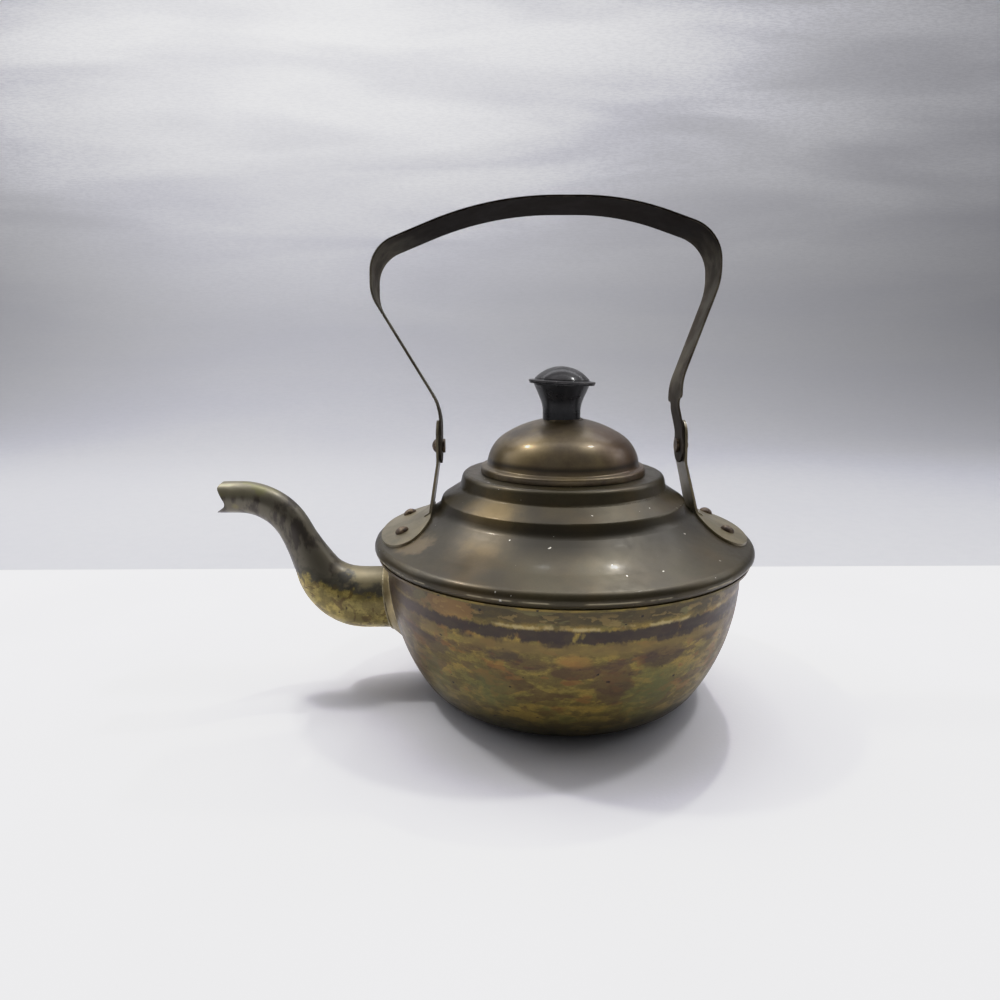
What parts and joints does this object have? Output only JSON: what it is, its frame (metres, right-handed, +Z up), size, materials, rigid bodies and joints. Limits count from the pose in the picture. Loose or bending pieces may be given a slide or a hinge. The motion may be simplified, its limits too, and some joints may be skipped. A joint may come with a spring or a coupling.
{
  "type": "tea kettle",
  "caption": "Small spun brass kettle with a gooseneck spout, a lift-off domed lid with a black knob, and a swinging strap handle.",
  "frame": {"origin": "centre of the flat base, on the surface that the kettle stands on", "axes": "+Z up along the kettle's spun axis, -X towards the spout, +X along the handle's pivot axis, -Y towards the front of the picture"},
  "size_m": [0.2351, 0.165, 0.213],
  "materials": {
    "bowl_brass": "tarnished, satin, mottled gold and brown",
    "shoulder_brass": "tarnished, satin, olive grey-brown",
    "spout_brass": "tarnished, dark above and golden below",
    "ear_brass": "tarnished, satin",
    "rivet_brass": "dark brown, worn bright on top",
    "strap_brass": "dark brown, satin",
    "lid_brass": "tarnished, satin, olive grey-brown",
    "black_knob": "black, semi-gloss",
    "grey_knob_cap": "dull grey-black",
    "screw_steel": "dull steel"
  },
  "bodies": {
    "kettle": {"bowl": "bowl_brass", "shoulder": "shoulder_brass", "spout": "spout_brass", "spout_flange": "spout_brass", "left_ear": "ear_brass", "right_ear": "ear_brass", "left_ear_rivets": "rivet_brass", "right_ear_rivets": "rivet_brass", "left_pivot_rivet": "rivet_brass", "right_pivot_rivet": "rivet_brass"},
    "handle": {"handle_strap": "strap_brass"},
    "lid": {"lid_dome": "lid_brass", "lid_ring": "lid_brass", "knob_stem": "black_knob", "knob_cap": "grey_knob_cap", "knob_screw": "screw_steel", "knob_washer": "screw_steel"}
  },
  "joints": [
    {"name": "handle_swing", "type": "hinge", "parent": "kettle", "child": "handle", "pos_m": [0, 0, 0.10901], "axis": [1, 0, 0], "range_deg": [-105, 125]},
    {"name": "lid_lift", "type": "slide", "parent": "kettle", "child": "lid", "axis": [0, 0, 1], "range_m": [0, 0.06]}
  ]
}
